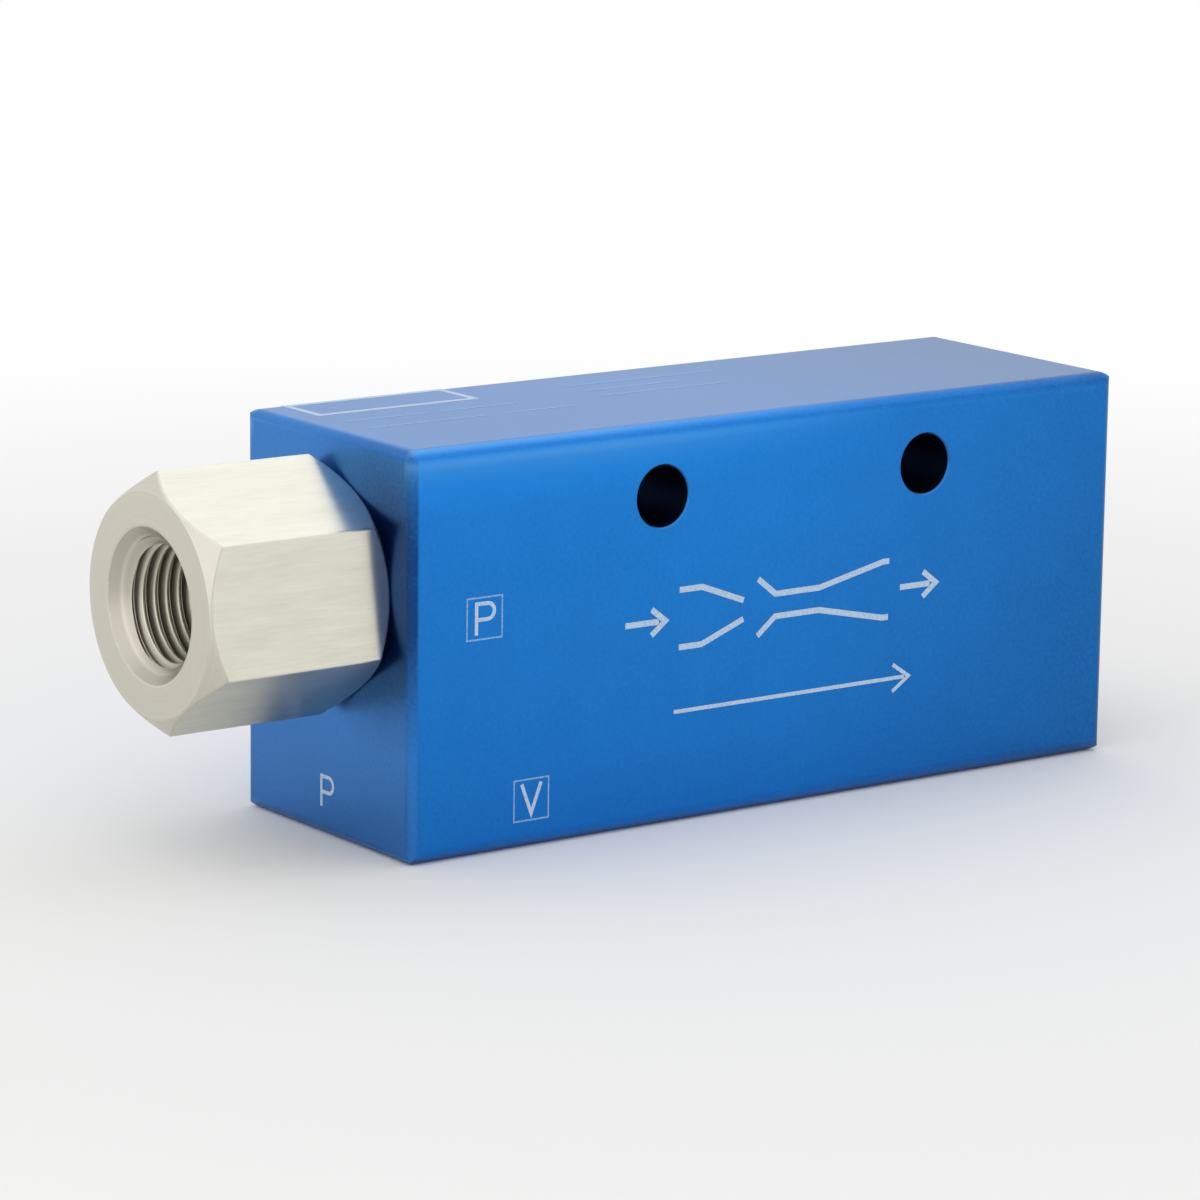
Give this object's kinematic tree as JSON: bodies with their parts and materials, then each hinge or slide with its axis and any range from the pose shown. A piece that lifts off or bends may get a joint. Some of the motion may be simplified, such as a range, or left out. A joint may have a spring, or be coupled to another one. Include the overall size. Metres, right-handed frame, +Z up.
{
  "type": "vacuum ejector",
  "caption": "Compact vacuum ejector block with a hexagonal threaded compressed-air inlet, a vacuum port underneath, two cross mounting holes and a built-in silencer.",
  "frame": {"origin": "centre of the block's underside", "axes": "+X along the flow from the inlet fitting to the silenced outlet, +Z up from the underside with the vacuum port, Y across the block"},
  "size_m": [0.1082, 0.0296, 0.0405],
  "materials": {
    "body": "satin blue anodised",
    "inlet_fitting": "turned and drawn bright steel",
    "rubber": "matte black",
    "nozzle": "turned brass",
    "diffuser": "turned aluminium",
    "silencer_element": "porous sintered plastic",
    "silencer_disc": "punched stainless sheet",
    "retaining_ring": "phosphated spring steel"
  },
  "bodies": {
    "root": {"body": "body", "inlet_fitting": "inlet_fitting", "fitting_o_ring": "rubber", "nozzle": "nozzle", "nozzle_o_ring": "rubber", "diffuser": "diffuser", "diffuser_o_ring": "rubber", "silencer_element": "silencer_element", "silencer_disc": "silencer_disc", "retaining_ring": "retaining_ring"}
  },
  "joints": []
}
